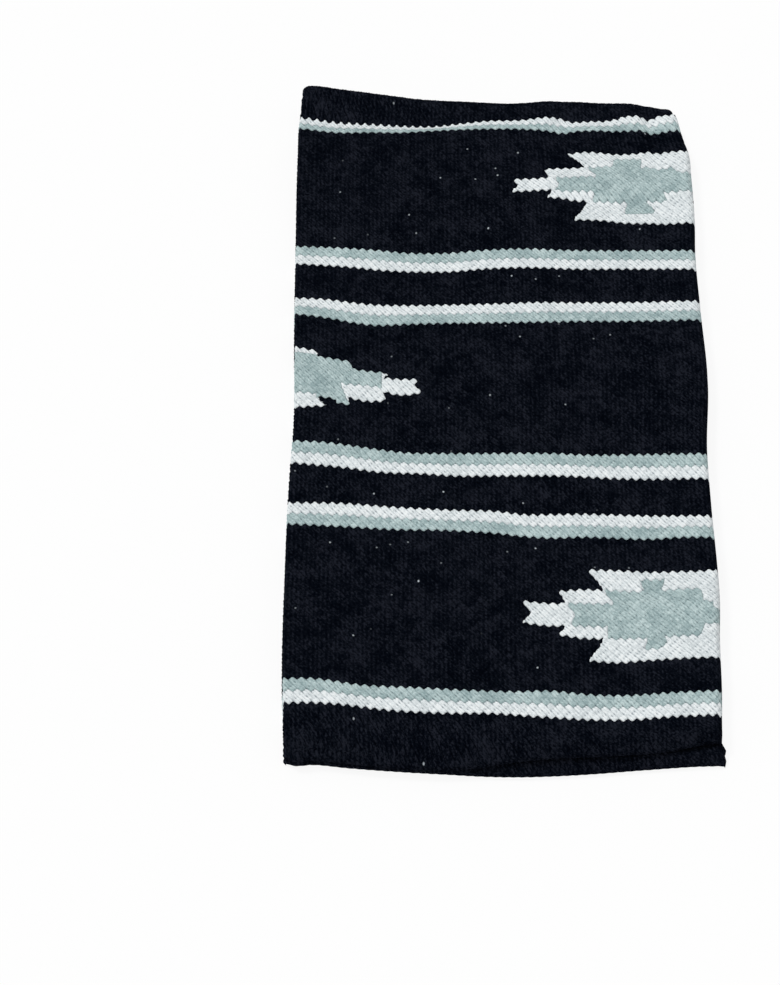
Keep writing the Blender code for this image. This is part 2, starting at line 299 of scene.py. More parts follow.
# Stripes of the top leaf, numbered from the near end: (x, shift in y) of the near and the far line
STRIPE_SHIFTS = (
    (
        (
            (-0.192, 0.0128), (-0.165, 0.0139), (-0.146, 0.013), (-0.1, 0.0077), (-0.055, 0.0058),
            (-0.009, 0.0064), (0.036, 0.0036), (0.082, 0.0019), (0.105, 0.0023), (0.15, 0.0073),
            (0.189, 0.01),
        ),
        (
            (-0.192, 0.0119), (-0.165, 0.0125), (-0.123, 0.0068), (-0.078, 0.0053), (-0.032, 0.0037),
            (0.014, 0.0032), (0.036, 0.0045), (0.082, 0.0013), (0.105, 0.0015), (0.15, 0.0059),
            (0.189, 0.009),
        ),
    ),
    (
        (
            (-0.189, 0.0087), (-0.142, 0.0071), (-0.095, 0.005), (-0.048, 0.0052), (-0.002, 0.003),
            (0.022, 0.0003), (0.045, -0.0008), (0.069, 0.0008), (0.139, 0.0007), (0.162, 0.0032),
            (0.184, 0.004),
        ),
        (
            (-0.189, 0.0061), (-0.142, 0.0065), (-0.095, 0.0035), (-0.048, 0.0018), (-0.002, 0.0011),
            (0.022, -0.0017), (0.045, -0.0011), (0.069, 0), (0.139, 0), (0.184, 0.0018),
        ),
    ),
    (
        (
            (-0.188, 0.0146), (-0.137, 0.01), (-0.113, 0.0065), (-0.066, 0.0052), (-0.043, 0.0038),
            (0.004, 0.0052), (0.06, 0.0064), (0.098, 0.0049), (0.122, 0.0045), (0.184, 0.0072),
        ),
        (
            (-0.188, 0.0125), (-0.16, 0.0115), (-0.137, 0.0085), (-0.113, 0.0048), (-0.09, 0.0019),
            (-0.043, 0.002), (0.028, 0.0042), (0.051, 0.0045), (0.075, 0.0036), (0.122, 0.0052),
            (0.184, 0.0082),
        ),
    ),
    (
        (
            (-0.19, 0.0078), (-0.159, 0.0037), (-0.135, -0.0014), (-0.112, -0.004), (-0.088, -0.002),
            (-0.04, 0.001), (0.008, 0.003), (0.08, 0.0066), (0.127, 0.0082), (0.185, 0.0115),
        ),
        (
            (-0.19, 0.003), (-0.159, 0.0018), (-0.135, -0.0015), (-0.112, -0.0035), (-0.088, -0.0033),
            (-0.04, -0.0011), (0.008, 0.0019), (0.032, 0.0039), (0.08, 0.005), (0.127, 0.0068),
            (0.185, 0.0105),
        ),
    ),
    (
        (
            (-0.19, 0.0026), (-0.135, -0.0004), (-0.111, -0.003), (-0.075, -0.0041), (-0.039, -0.0023),
            (-0.015, 0.0012), (0.033, 0.0046), (0.07, 0.004), (0.129, 0.0056), (0.185, 0.0072),
        ),
        (
            (-0.19, 0), (-0.159, -0.0003), (-0.135, -0.0012), (-0.111, -0.0028), (-0.087, -0.0051),
            (-0.039, -0.0033), (-0.015, 0.0002), (0.033, 0.0037), (0.057, 0.003), (0.129, 0.0043),
            (0.185, 0.0065),
        ),
    ),
    (
        (
            (-0.19, -0.0012), (-0.15, -0.005), (-0.12, -0.0034), (-0.09, -0.0024), (-0.06, 0.0012),
            (-0.015, 0.005), (0.033, 0.0061), (0.047, 0.0053), (0.059, 0.0033), (0.065, 0.0019),
            (0.071, 0.002), (0.077, 0.0034), (0.083, 0.005), (0.095, 0.0061), (0.107, 0.0066),
            (0.119, 0.0058), (0.131, 0.0066), (0.144, 0.0073), (0.15, 0.0076), (0.156, 0.0044),
            (0.162, 0.0035), (0.168, 0.0051), (0.174, 0.0065), (0.181, 0.0081), (0.19, 0.0092),
        ),
        (
            (-0.19, -0.0078), (-0.165, -0.0124), (-0.12, -0.0143), (-0.075, -0.0148), (-0.06, -0.014),
            (-0.03, -0.0084), (-0.005, -0.0039), (0.03, -0.0016), (0.047, 0.0011), (0.057, 0.002),
            (0.066, 0.0013), (0.072, 0), (0.078, -0.0033), (0.084, -0.0039), (0.091, -0.0031),
            (0.103, -0.0018), (0.115, -0.0011), (0.122, 0.0008), (0.128, 0.0024), (0.134, 0.0054),
            (0.143, 0.0064), (0.148, 0.007), (0.154, 0.0049), (0.16, 0.0023), (0.166, 0.0056),
            (0.173, 0.009), (0.18, 0.0102), (0.19, 0.0125),
        ),
    ),
)


def clear_scene():
    for item in list(bpy.data.objects):
        bpy.data.objects.remove(item)


def placed(name, data):
    """A new object in the scene."""
    item = bpy.data.objects.new(name, data)
    bpy.context.scene.collection.objects.link(item)
    return item


# Leaf surfaces


def arc_table(points):
    """Running length along a line of points."""
    steps = np.linalg.norm(np.diff(points, axis=0), axis=1)
    return np.concatenate([[0], np.cumsum(steps)])


def leaf_section():
    """Across an outer leaf, from under its bare edge, over its face, to the end of the fold.

    Gives the length along it, X, height over the fold plane, and the outward normal's X and height.
    """
    middle = LEAF_LOW + LEAF_HALF_THICKNESS
    angles = np.linspace(1.5 * math.pi, 0.5 * math.pi, EDGE_POINTS)
    edge_x = LEFT_EDGE + SELVEDGE_ROUND + SELVEDGE_ROUND * np.cos(angles)
    edge = np.stack([edge_x, middle + LEAF_HALF_THICKNESS * np.sin(angles)], 1)
    angles = np.linspace(0.5 * math.pi, 0, FOLD_POINTS)
    fold_x = RIGHT_FOLD - FOLD_ROUND + FOLD_ROUND * np.cos(angles)
    fold = np.stack([fold_x, LEAF_LOW + 2 * LEAF_HALF_THICKNESS * np.sin(angles)], 1)
    points = np.concatenate([edge, fold])
    along = np.gradient(points, axis=0)
    flat = np.array([1.0, 0.0])
    along[EDGE_POINTS - 1] = flat
    along[EDGE_POINTS] = flat
    along /= np.linalg.norm(along, axis=1)[:, None]
    return arc_table(points), points[:, 0], points[:, 1], -along[:, 1], along[:, 0]


SECTION_S, SECTION_X, SECTION_H, SECTION_NX, SECTION_NH = leaf_section()
SECTION_LENGTH = SECTION_S[-1]
SELVEDGE_LENGTH = float(SECTION_S[EDGE_POINTS - 1])
LIP_LENGTH = math.pi * math.sqrt((END_ROUND**2 + LEAF_HALF_THICKNESS**2) / 2)
CREST_RADIUS = HALF_HEIGHT - LEAF_GAP / 4
INNER_RADIUS = LEAF_LOW - LEAF_GAP / 4
CREST_LENGTH = CREST_RADIUS * math.pi / 2
FACE_LENGTH = CREST_RADIUS - INNER_RADIUS


class Leaf:
    """One leaf: which half it is in, whether it is the outer one, and how finely it is woven."""

    def __init__(self, half, is_outer, fine):
        self.half = half
        self.side = 1 if half == "upper" else -1
        self.is_outer = is_outer
        self.fine = fine
        self.near = NEAR_END + (UPPER_STEP_BACK if half == "upper" else 0)
        self.start = self.near + END_ROUND - LIP_LENGTH
        seam = [CREST_CENTRE + CREST_LENGTH] if is_outer else []
        self.end = CREST_CENTRE + (CREST_LENGTH if is_outer else 0) + FACE_LENGTH
        limits = sorted([self.start, *BAND_LIMITS, *(place for place, _ in DIAMOND_STEPS), *seam, self.end])
        rows = np.cumsum([max(1, round((high - low) / ROW_HEIGHT)) for low, high in zip(limits, limits[1:])])
        self.row_limits = rows[[place in BAND_LIMITS for place in limits[1:]]]
        knots = [0, *((rows[:-1] + 0.5) * fine), (rows[-1] + 1) * fine]
        self.row_knots = np.array(knots, float)
        self.length_knots = np.array(limits)
        self.columns = HALF_PITCHES * fine
        self.rows = int((rows[-1] + 1) * fine)

    def width_at(self, column):
        return column / self.columns * SECTION_LENGTH

    def length_at(self, row):
        return np.interp(row, self.row_knots, self.length_knots)

    def flat_x(self, column):
        """X on the flat cloth, counted from the bare edge; past the fold it runs on."""
        return LEFT_EDGE + self.width_at(column) - SELVEDGE_LENGTH / 2


def shaped(leaf, column, row, depth):
    """Points of a leaf's face at lattice places, sunk into the leaf by a depth."""
    s = leaf.width_at(column)
    t = leaf.length_at(row)
    x = np.interp(s, SECTION_S, SECTION_X)
    height = (np.interp(s, SECTION_S, SECTION_H) - LEAF_LOW) / (2 * LEAF_HALF_THICKNESS)
    nx = np.interp(s, SECTION_S, SECTION_NX)
    nh = np.interp(s, SECTION_S, SECTION_NH)
    # Lip at the near end
    lip = np.clip((t - leaf.start) / LIP_LENGTH, 0, 1) * math.pi
    end_height = np.where(lip < math.pi, (1 - np.cos(lip)) / 2, 1.0)
    y = np.where(lip < math.pi, leaf.near + END_ROUND - END_ROUND * np.sin(lip), t)
    ny = np.where(lip < math.pi, -np.sin(lip), 0.0)
    height = height * end_height
    nh = nh * np.where(lip < math.pi, -np.cos(lip), 1.0)
    scale = np.sqrt(nx**2 + ny**2 + nh**2) + 1e-9
    nx, ny, nh = nx / scale, ny / scale, nh / scale
    x = x - nx * depth
    y = y - ny * depth
    h = LEAF_LOW + 2 * LEAF_HALF_THICKNESS * height - nh * depth
    h = np.maximum(h, LEAF_LOW)
    if not leaf.is_outer:
        h = HALF_HEIGHT - h
        return np.stack([x, y, np.maximum(h, LEAF_GAP / 4)], 1)
    # Crest, then the end face that lies in the fold plane
    angle = np.clip((t - CREST_CENTRE) / CREST_LENGTH, 0, 1) * math.pi / 2
    inwards = np.clip((t - CREST_CENTRE - CREST_LENGTH) / FACE_LENGTH, 0, 1)
    turned = t > CREST_CENTRE
    radius = h - LEAF_GAP / 4
    radius = np.where(inwards > 0, INNER_RADIUS + (radius - INNER_RADIUS) * (1 - inwards), radius)
    y = np.where(turned, CREST_CENTRE + radius * np.sin(angle), y)
    h = np.where(turned, LEAF_GAP / 4 + radius * np.cos(angle) + depth * np.sign(inwards), h)
    return np.stack([x, y, h], 1)


def backed(leaf, column, row):
    """Points of a leaf's hidden back at the same lattice places."""
    s = leaf.width_at(column)
    t = leaf.length_at(row)
    low_x = LEFT_EDGE + SELVEDGE_ROUND
    x = np.interp(
        s,
        [0, SELVEDGE_LENGTH, SELVEDGE_LENGTH * BACK_FROM, *SECTION_S[EDGE_POINTS:]],
        [low_x, low_x * BACK_INSET, low_x + SELVEDGE_LENGTH * (BACK_FROM - 1), *SECTION_X[EDGE_POINTS:]],
    )
    lip_end = leaf.start + LIP_LENGTH
    lip_y = leaf.near + END_ROUND
    y = np.interp(
        t,
        [leaf.start, lip_end, lip_end + LIP_LENGTH, CREST_CENTRE],
        [lip_y, lip_y + BACK_LIP, lip_end + LIP_LENGTH, CREST_CENTRE],
    )
    angle = np.clip((t - CREST_CENTRE) / (leaf.end - CREST_CENTRE), 0, 1) * math.pi / 2
    turned = t > CREST_CENTRE
    if leaf.is_outer:
        radius = INNER_RADIUS
        h_flat = LEAF_LOW
    else:
        radius = HALF_HEIGHT - LEAF_LOW - LEAF_GAP / 4
        h_flat = HALF_HEIGHT - LEAF_LOW
    y = np.where(turned, CREST_CENTRE + radius * np.sin(angle), y)
    h = np.where(turned, LEAF_GAP / 4 + radius * np.cos(angle), h_flat)
    return np.stack([x, y, h], 1)


# The lie of the cloth: how the flat plan is bent into the photograph's


def pattern_lines():
    """Each line of the stripes and row of the diamonds' steps, with its shift along Y as a function of X."""
    lines = []
    for stripe, (near_points, far_points) in enumerate(STRIPE_SHIFTS):
        near, middle, far = BAND_LIMITS[3 * stripe:3 * stripe + 3]
        near_shift, far_shift = curve_through(near_points), curve_through(far_points)
        lines.append((near, near_shift))
        lines.append((middle, between(near_shift, far_shift, 0.5, np.zeros_like)))
        lines.append((far, far_shift))
    stripes = list(lines)
    for place, points in DIAMOND_STEPS:
        number = sum(line[0] < place for line in stripes)
        (low, first), (high, last) = stripes[number - 1:number + 1]
        share = (place - low) / (high - low)
        own = curve_through(points or ((LEFT_EDGE, 0), (RIGHT_FOLD, 0)))
        lines.append((place, between(first, last, share, own)))
    return sorted(lines, key=lambda line: line[0])


def between(first, last, share, own):
    """A mix of two functions with a third added."""
    return lambda x: first(x) * (1 - share) + last(x) * share + own(x)


PATTERN_LINES = pattern_lines()


def weave_shift(x, y):
    """How far the pattern slides along Y inside the top leaf, without moving its outline."""
    places = np.array([NEAR_END, *(place for place, _ in PATTERN_LINES), CREST_CENTRE])
    shifts = np.stack([np.zeros_like(x), *(shift(x) for _, shift in PATTERN_LINES), np.zeros_like(x)])
    index = np.clip(np.searchsorted(places, y) - 1, 0, len(places) - 2)
    t = np.clip((y - places[index]) / (places[index + 1] - places[index]), 0, 1)
    columns = np.arange(len(x))
    return shifts[index, columns] * (1 - t) + shifts[index + 1, columns] * t


def raised_at(x, y, h):
    """How far the upper half is lifted over its plan, or sunk under it."""
    across = np.clip((x - LEFT_EDGE) / (RIGHT_FOLD - LEFT_EDGE), 0, 1)
    corner = step(-x, *PUFF_X) * step(y, *PUFF_Y)
    first, second = (np.sin(x * by_x + y * by_y + phase) for by_x, by_y, phase in WAVES)
    waves = WAVE_HEIGHT * first * second - WAVE_HEIGHT
    inner = step(across, 0, WAVE_FADE) * step(-across, -1, WAVE_FADE - 1)
    inner = inner * step(y, NEAR_END, NEAR_END + WAVE_FADE_NEAR)
    lift = CORNER_LIFT * corner + waves * inner
    for centre_x, width, height in PUCKERS:
        lift += height * np.exp(-(((x - centre_x) / width) ** 2 + ((y - PUCKER_Y) / PUCKER_LENGTH) ** 2))
    lift -= SAG_DEPTH * step(x, *SAG_X) * step(y, *SAG_Y)
    return lift * step(h, LIFT_MARGIN, HALF_HEIGHT - LIFT_MARGIN)


def laid(points, leaf):
    """Points of a leaf, (x, y, height over the fold plane), as they lie in the photograph."""
    x, y, h = points.T
    across = np.clip((x - LEFT_EDGE) / (RIGHT_FOLD - LEFT_EDGE), 0, 1)
    is_upper = leaf.half == "upper"
    lift = np.zeros_like(x)
    dy = np.zeros_like(x)
    dx = LEFT_SIDE(y) * (1 - across) + RIGHT_SIDE(y) * across**3
    if is_upper:
        lift = raised_at(x, y, h)
        square = SQUARE_SHARE * step(-x, *SQUARE_X) * step(y, *SQUARE_Y)
        dy += square * np.maximum(CREST_RADIUS - (y - CREST_CENTRE), 0) * step(h, *SQUARE_H)
        if leaf.is_outer:
            seen = step(-y, -CREST_CENTRE, SHIFT_FADE - CREST_CENTRE)
            dy += weave_shift(x, y) - LIFT_TO_SHIFT * lift * seen
    else:
        dx += LOWER_CORNER(y) * across**3
    dy += (UPPER_NEAR_SHIFT(x) if is_upper else NEAR_SHIFT(x)) * step(-y, *NEAR_Y)
    # In the fold plane the crest stays on the hinge, where the halves meet when the blanket is open
    far = FAR_SHIFT(x) if is_upper else np.minimum(FAR_SHIFT(x), 0)
    dy += far * step(y, *FAR_Y) * step(h, *FAR_H)
    dy += SEAM_REACH * step(y, *SEAM_Y) * step(-h, *SEAM_H)
    dy -= (LEFT_PULL * step(-x, *LEFT_X) + RIGHT_PULL * step(x, *RIGHT_X)) * step(y, *CORNER_Y)
    z = FOLD_PLANE + leaf.side * (h + lift)
    if leaf.is_outer == is_upper:
        depth = DRAPE_DEPTH + (DEEP_DRAPE - DRAPE_DEPTH) * step(-x, *DEEP_X) * is_upper
        z -= depth * step(-y, -leaf.near - DRAPE_LENGTH, -leaf.near)
    else:
        dy += TUCK * step(-y, *TUCK_Y)
    return np.stack([x + dx, y + dy, z], 1)


# The pattern


def whole_outline(side, ends):
    """The border of a diamond at the fold, which runs on past it."""
    far, near = ends
    others = [(RIGHT_CENTRE + FOLD_STRETCH * (RIGHT_CENTRE - x), y) for x, y in side]
    others[0] = (others[0][0], far)
    others[-1] = (others[-1][0], near)
    return [*side, (RIGHT_CENTRE, near), *reversed(others), (RIGHT_CENTRE, far)]


def diamond_outlines():
    borders = (
        whole_outline(DIAMOND_1_SIDE, DIAMOND_1_ENDS),
        DIAMOND_2_BORDER,
        whole_outline(DIAMOND_3_SIDE, DIAMOND_3_ENDS),
    )
    cores = (DIAMOND_1_CORE, DIAMOND_2_CORE, DIAMOND_3_CORE)
    return [(np.array(border) / 1000, np.array(core) / 1000) for border, core in zip(borders, cores)]


def inside(x, y, outline):
    """Which points lie in a polygon."""
    result = np.zeros(x.shape, bool)
    for (x1, y1), (x2, y2) in zip(outline, np.roll(outline, -1, 0)):
        crosses = (y1 > y) != (y2 > y)
        if y1 != y2:
            result ^= crosses & (x < (x2 - x1) * (y - y1) / (y2 - y1) + x1)
    return result


def area_names():
    """Every area of yarn on a leaf, with its colour, in the order of its number."""
    names = [(f"navy_field_{number}", NAVY) for number in range(1, FIELD_COUNT + 1)]
    for number, white_first in enumerate(WHITE_FIRST, 1):
        colours = (WHITE, GREY) if white_first else (GREY, WHITE)
        names += [(f"{colour}_stripe_{number}", colour) for colour in colours]
    for number in (1, 2, 3):
        names += [(f"diamond_{number}_border", WHITE), (f"diamond_{number}_core", GREY)]
    return names


AREAS = area_names()


def areas_of_cells(leaf, i, j):
    """The number of the area of each cell, from its place across and along the floats.

    Stripes change colour by whole floats. The stepped diamonds may end inside a float.
    """
    fine = leaf.fine
    float_row = i // fine - j // fine
    band = np.searchsorted(leaf.row_limits, float_row)
    stripe, part = (band - 1) // 3, (band - 1) % 3
    area = np.where(band % 3 == 0, band // 3, FIELD_COUNT + 2 * stripe + np.minimum(part, 1))
    x = leaf.flat_x(i + j + 1)
    y = leaf.length_at(float_row * fine + END_SLANT * (i - j - float_row * fine))
    mirrored = 2 * (LEFT_EDGE + SECTION_LENGTH - SELVEDGE_LENGTH / 2) - x
    for number, (field, outlines) in enumerate(zip(FIELDS_WITH_DIAMOND, diamond_outlines())):
        outline, core = outlines
        is_at_fold = number != 1
        place = mirrored if is_at_fold and not leaf.is_outer else x
        border_area = FIRST_DIAMOND + 2 * number
        here = (area == field - 1) & inside(place, y, outline)
        area = np.where(here, border_area, area)
        area = np.where(here & inside(place, y, core), border_area + 1, area)
    return area


def relief(a, b, strands, seed):
    """How far each place lies below the top of the tallest float, as a share of the float's height."""
    edge = np.abs(2 * (a % 1) - 1)
    along = np.abs(2 * (b % 1) - 1)
    random = np.random.default_rng(seed).random((RANDOM_SIZE, RANDOM_SIZE))
    own = random[np.floor(a).astype(int) % RANDOM_SIZE, np.floor(b).astype(int) % RANDOM_SIZE]
    tall = LOWEST_TOP + (1 - LOWEST_TOP) * own
    across = np.abs(2 * (strands * a % 1) - 1) ** STRAND_POWER
    if strands > 1:
        across = across * (STRAND_DEPTH + (1 - STRAND_DEPTH) * edge**EDGE_POWER)
    return 1 - tall * (1 - across) * (1 - END_DEPTH * along**END_POWER)


def soften(places, edges, rounds):
    """Rounds the zigzag edges between colours by averaging along them."""
    for _ in range(rounds):
        total = np.zeros_like(places)
        count = np.zeros(len(places))
        for first, second in ((0, 1), (1, 0)):
            np.add.at(total, edges[:, first], places[edges[:, second]])
            np.add.at(count, edges[:, first], 1)
        both = count == 2
        places[both] = 0.5 * places[both] + 0.25 * total[both]
    return places


# Meshes


class Weave:
    """A leaf's lattice: its vertices, its small faces and the area that each face belongs to."""

    def __init__(self, leaf, seed):
        self.leaf = leaf
        fine = leaf.fine
        columns, rows = np.meshgrid(np.arange(leaf.columns + 1), np.arange(leaf.rows + 1), indexing="ij")
        is_point = (columns + rows) % 2 == 0
        index = np.full(columns.shape, -1)
        index[is_point] = np.arange(is_point.sum())
        self.column = columns[is_point]
        self.row = rows[is_point]
        face_column, face_row = columns[~is_point], rows[~is_point]
        padded = np.pad(index, 1, constant_values=-1)
        at = (face_column + 1, face_row + 1)
        self.faces = np.stack([
            padded[at[0] - 1, at[1]],
            padded[at[0], at[1] - 1],
            padded[at[0] + 1, at[1]],
            padded[at[0], at[1] + 1],
        ], 1)
        self.face_row = face_row
        self.area = areas_of_cells(leaf, (face_column + face_row - 1) // 2, (face_column - face_row - 1) // 2)
        self.on_outline = (
            (self.column == 0) | (self.column == leaf.columns) | (self.row == 0) | (self.row == leaf.rows)
        )
        self.a = (self.column + self.row) / 2 / fine
        self.b = (self.column - self.row) / 2 / fine
        self.edges_of_faces()
        places = np.stack([self.column, self.row], 1).astype(float)
        keep = self.on_outline
        # A finely meshed float shows two strands, and its colour edges are rounded twice
        strands = 2 if fine > COARSE else 1
        moved = soften(places.copy(), self.colour_edges, strands)
        moved[keep] = places[keep]
        deep = relief(self.a, self.b, strands, seed)
        height = FLOAT_HEIGHT if leaf.is_outer and leaf.half == "upper" else UNDER_HEIGHT
        # No relief along the hinge, so that the open halves meet without a gap
        from_seam = np.abs(leaf.length_at(self.row) - CREST_CENTRE - CREST_LENGTH)
        height = height * np.clip(from_seam / SEAM_MARGIN, 0, 1)
        self.face_points = laid(shaped(leaf, moved[:, 0], moved[:, 1], deep * height * ~keep), leaf)
        self.back_points = laid(backed(leaf, moved[:, 0], moved[:, 1]), leaf)
        self.back_points[keep] = self.face_points[keep]

    def edges_of_faces(self):
        """Edges between two faces of different areas, and all edges with the face on their left."""
        faces = self.faces
        starts, ends, owners = [], [], []
        for corner in range(4):
            first = faces[:, corner]
            following = faces[:, (corner + 1) % 4]
            skip = faces[:, (corner + 2) % 4]
            following = np.where(following < 0, skip, following)
            real = (first >= 0) & (following >= 0)
            starts.append(first[real])
            ends.append(following[real])
            owners.append(np.nonzero(real)[0])
        self.edge_start = np.concatenate(starts)
        self.edge_end = np.concatenate(ends)
        self.edge_owner = np.concatenate(owners)
        points = len(self.column)
        key = self.edge_start.astype(np.int64) * points + self.edge_end
        twin = self.edge_end.astype(np.int64) * points + self.edge_start
        order = np.argsort(key)
        found = np.searchsorted(key[order], twin)
        found = np.clip(found, 0, len(key) - 1)
        has_twin = key[order][found] == twin
        other = np.where(has_twin, self.area[self.edge_owner[order][found]], -1)
        self.edge_other = other
        mine = self.area[self.edge_owner]
        differs = (mine != other) & has_twin & (self.edge_start < self.edge_end)
        self.colour_edges = np.stack([self.edge_start[differs], self.edge_end[differs]], 1)

    def piece(self, name, numbers, material):
        """One closed mesh of the chosen areas."""
        leaf = self.leaf
        chosen = np.isin(self.area, numbers)
        faces = self.faces[chosen]
        owner_chosen = chosen[self.edge_owner]
        limit = owner_chosen & ~np.isin(self.edge_other, numbers)
        start, end = self.edge_start[limit], self.edge_end[limit]
        used = np.unique(faces[faces >= 0])
        face_of = np.full(len(self.column), -1)
        face_of[used] = np.arange(len(used))
        points = [self.face_points[used]]
        rim = np.unique(np.concatenate([start, end]))
        sunk = rim[~self.on_outline[rim]]
        back_of = np.full(len(self.column), -1)
        back_of[sunk] = len(used) + np.arange(len(sunk))
        points.append(self.back_points[sunk])
        edge_rim = rim[self.on_outline[rim]]
        back_of[edge_rim] = face_of[edge_rim]
        # Back: a triangulation of the rim and of a loose grid inside it
        grid_step = BACK_FLOATS * leaf.fine
        is_grid = (self.column[used] % grid_step == 0) & (self.row[used] % grid_step == 0)
        inner = used[is_grid & (back_of[used] < 0)]
        seeds = np.concatenate([rim, inner])
        local = np.full(len(self.column), -1)
        local[seeds] = np.arange(len(seeds))
        flat = [Vector((float(c), float(r))) for c, r in zip(self.column[seeds], self.row[seeds])]
        links = [(int(i), int(j)) for i, j in zip(local[start], local[end])]
        found = geometry.delaunay_2d_cdt(flat, links, [], 0, SAME_POINT)
        places = np.array([tuple(v) for v in found[0]])
        triangles = np.array(found[2])
        origin = np.array([ids[0] if ids else -1 for ids in found[3]])
        middle = places[triangles].mean(1)
        inside_area = self.is_in(middle, numbers)
        triangles = triangles[inside_area & (origin[triangles] >= 0).all(1)]
        back_of[inner] = len(used) + len(sunk) + np.arange(len(inner))
        points.append(self.back_points[inner])
        back = back_of[seeds[origin[triangles]]]
        # Walls
        is_wall = ~(self.on_outline[start] & self.on_outline[end])
        rings = np.where(faces >= 0, face_of[faces], -1).tolist()
        polygons = [[v for v in ring if v >= 0] for ring in rings]
        smooth = [True] * len(polygons)
        for i, j in zip(start[is_wall], end[is_wall]):
            ring = [int(face_of[j]), int(face_of[i]), int(back_of[i]), int(back_of[j])]
            ring = [v for place, v in enumerate(ring) if v != ring[place - 1]]
            polygons.append(ring)
            smooth.append(False)
        for triangle in back:
            a, b, c = (int(v) for v in triangle)
            polygons.append([a, c, b])
            smooth.append(False)
        if leaf.side * (1 if leaf.is_outer else -1) < 0:
            polygons = [ring[::-1] for ring in polygons]
        mesh = bpy.data.meshes.new(name)
        mesh.from_pydata(np.concatenate(points).tolist(), [], polygons)
        mesh.polygons.foreach_set("use_smooth", smooth)
        weave = np.zeros((len(mesh.vertices), 3), np.float32)
        sources = np.concatenate([used, sunk, inner])
        weave[:, 0] = self.a[sources]
        weave[:, 1] = self.b[sources]
        layer = mesh.attributes.new("weave", "FLOAT_VECTOR", "POINT")
        layer.data.foreach_set("vector", weave.ravel())
        mesh.materials.append(material)
        mesh.update()
        return placed(name, mesh)

    def is_in(self, places, numbers):
        """Whether the faces under the given lattice places belong to the chosen areas."""
        i = np.floor((places[:, 0] + places[:, 1]) / 2).astype(int)
        j = np.floor((places[:, 0] - places[:, 1]) / 2).astype(int)
        return np.isin(areas_of_cells(self.leaf, i, j), numbers)

    def flat_area(self, numbers):
        """The area of cloth in the chosen areas, before it was folded."""
        leaf = self.leaf
        rows = self.face_row[np.isin(self.area, list(numbers))]
        heights = leaf.length_at(rows + 1) - leaf.length_at(rows - 1)
        return float(heights.sum() * SECTION_LENGTH / leaf.columns)


# Materials


# Noise: how fine across and along a float, how far a float's tone moves it, and how fine by the place. Then
# the shapes of the painted shade in pits and grooves, and of lint.
FIBRES = (8.0, 2.2)
STREAKS = (3.4, 1.5)
FIBRE_LAYERS = 9.0
STREAK_LAYERS = (2.0, 5.0)
PATCH_SCALE = 38.0
SPECK_SCALE = 560.0
NOISE_DETAIL = 3.0
NOISE_ROUGHNESS = 0.65
PIT_SHADE_POWERS = (1.8, 2.0)
PIT_SHADE_CHANCE = (0.15, 0.85, 0.15, 1.0)
GROOVE_SHADE_POWERS = (6.0, 4.0)
STRAND_GROOVE_SHADE = 0.5
MOST_SHADE = 0.95
LINT_RIM = (0.09, 0.04)
ROUGH_WEIGHTS = (0.6, 0.5, 0.4)
BUMP_DISTANCE = 0.0008
SHEEN_ROUGHNESS = 0.5


class Nodes:
    """A short way to write a node tree."""

    def __init__(self, owner):
        owner.use_nodes = True
        self.tree = owner.node_tree

    def add(self, kind, settings=None, **inputs):
        """A node with its settings, and its inputs by name or as i and their number."""
        node = self.tree.nodes.new(kind)
        for name, value in (settings or {}).items():
            setattr(node, name, value)
        for name, value in inputs.items():
            self.put(node.inputs[int(name[1:]) if name[1:].isdigit() else name], value)
        return node

    def put(self, socket, value):
        if isinstance(value, bpy.types.NodeSocket):
            self.tree.links.new(value, socket)
        else:
            socket.default_value = value

    def math(self, operation, first, second=0.0, third=0.0):
        return self.add("ShaderNodeMath", {"operation": operation}, i0=first, i1=second, i2=third).outputs[0]

    def mix(self, factor, first, second):
        node = self.add("ShaderNodeMix", {"data_type": "RGBA"}, i0=factor)
        self.put(node.inputs[6], first)
        self.put(node.inputs[7], second)
        return node.outputs[2]

    def ramp(self, value, low, high, to_low=0.0, to_high=1.0):
        limits = dict(i1=low, i2=high, i3=to_low, i4=to_high)
        return self.add("ShaderNodeMapRange", {"clamp": True}, i0=value, **limits).outputs[0]

    def slanted(self, a, b, scales, layer):
        """A place counted across and along the floats, in a layer of its own."""
        first, second = (self.math("MULTIPLY", value, scale) for value, scale in zip((a, b), scales))
        return self.add("ShaderNodeCombineXYZ", None, i0=first, i1=second, i2=layer).outputs[0]

    def noise(self, place, scale):
        inputs = dict(Vector=place, Scale=scale, Detail=NOISE_DETAIL, Roughness=NOISE_ROUGHNESS)
        return self.add("ShaderNodeTexNoise", None, **inputs).outputs["Fac"]

    def chance(self, place, dimensions="2D"):
        settings = {"noise_dimensions": dimensions}
        return self.add("ShaderNodeTexWhiteNoise", settings, i0=place).outputs["Value"]

    def from_middle(self, value):
        """How far a value lies from the middle of its unit, from 0 to 1."""
        return self.math("ABSOLUTE", self.math("MULTIPLY_ADD", self.math("FRACT", value), 2.0, -1.0))

    def seen(self):
        """1 where a ray comes from the camera or by way of a mirror or glass."""
        path = self.add("ShaderNodeLightPath")
        straight = self.math("MAXIMUM", path.outputs["Is Camera Ray"], path.outputs["Is Glossy Ray"])
        return self.math("MAXIMUM", straight, path.outputs["Is Transmission Ray"])


